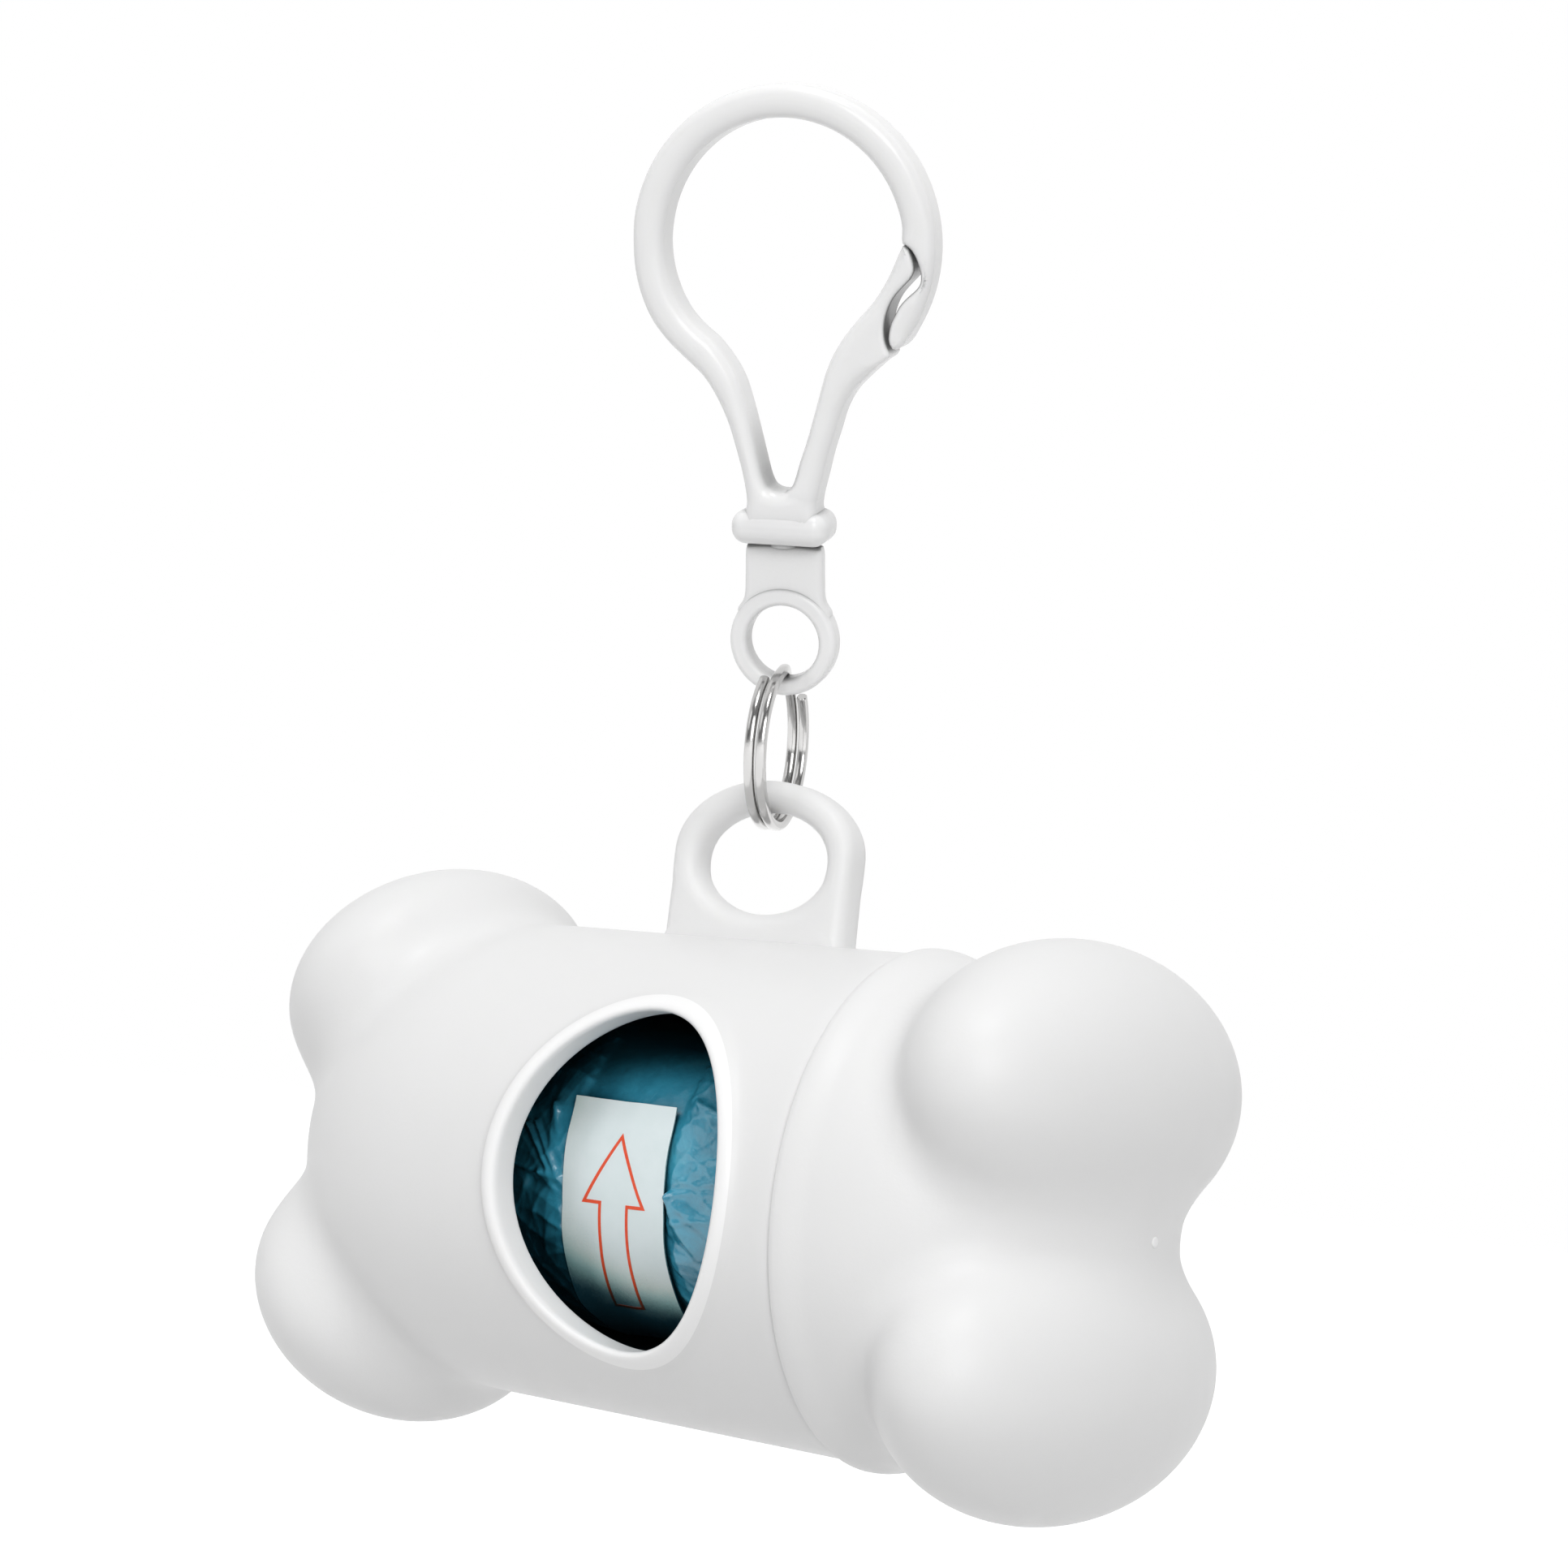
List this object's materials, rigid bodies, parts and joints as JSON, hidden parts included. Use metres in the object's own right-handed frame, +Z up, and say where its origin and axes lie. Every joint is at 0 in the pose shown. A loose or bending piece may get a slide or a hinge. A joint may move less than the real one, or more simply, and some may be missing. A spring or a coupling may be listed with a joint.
{
  "type": "dog waste bag dispenser",
  "caption": "Bone-shaped hollow case with an oval window and a pull-off end, holding a roll of bags, hung by a tab, split ring and swivelling spring-gate hook.",
  "frame": {"origin": "seat of the hook's loop, at the top of the loop's inside, in the middle of its thickness", "axes": "+Z up, +X along the case towards the pull-off end, -Y the way the window faces"},
  "size_m": [0.0847, 0.0414, 0.111],
  "materials": {
    "white_shell": "smooth satin gloss with very fine moulding texture",
    "white_hook": "smooth gloss acetal",
    "ring_steel": "nickel plated",
    "bag_film": "thin crinkled film",
    "core_card": "raw spiral-wound card",
    "band_paper": "matt printed paper"
  },
  "bodies": {
    "hook": {"hook_body": "white_hook"},
    "gate": {"hook_gate": "white_hook"},
    "eye": {"swivel_eye": "white_hook"},
    "ring": {"split_ring": "ring_steel"},
    "case": {"case_body": "white_shell"},
    "cap": {"end_cap": "white_shell"},
    "roll": {"bag_roll": "bag_film", "roll_core": "core_card", "paper_band": "band_paper"}
  },
  "joints": [
    {"name": "gate_flex", "type": "hinge", "parent": "hook", "child": "gate", "pos_m": [-0.00148, 0.01135, -0.02642], "axis": [0.2997, -0.8704, -0.3907], "range_deg": [0, 18], "stiffness_Nm_per_rad": 0.02, "springref_deg": -5.73},
    {"name": "eye_swivel", "type": "hinge", "parent": "hook", "child": "eye", "pos_m": [-0.00436, 0.01267, -0.03157], "axis": [0.1272, -0.3694, 0.9205], "continuous": true},
    {"name": "ring_swing", "type": "hinge", "parent": "eye", "child": "ring", "pos_m": [-0.00592, 0.01718, -0.0428], "axis": [0.9455, 0.3256, 0], "range_deg": [-60, 60]},
    {"name": "case_swing", "type": "hinge", "parent": "ring", "child": "case", "pos_m": [-0.00582, 0.0169, -0.05472], "axis": [-0.3256, 0.9455, 0], "range_deg": [-35, 35]},
    {"name": "cap_pull", "type": "slide", "parent": "case", "child": "cap", "axis": [1, 0, 0], "range_m": [0, 0.07]},
    {"name": "roll_spin", "type": "hinge", "parent": "case", "child": "roll", "pos_m": [-0.00542, 0.0169, -0.08449], "axis": [1, 0, 0], "continuous": true}
  ]
}
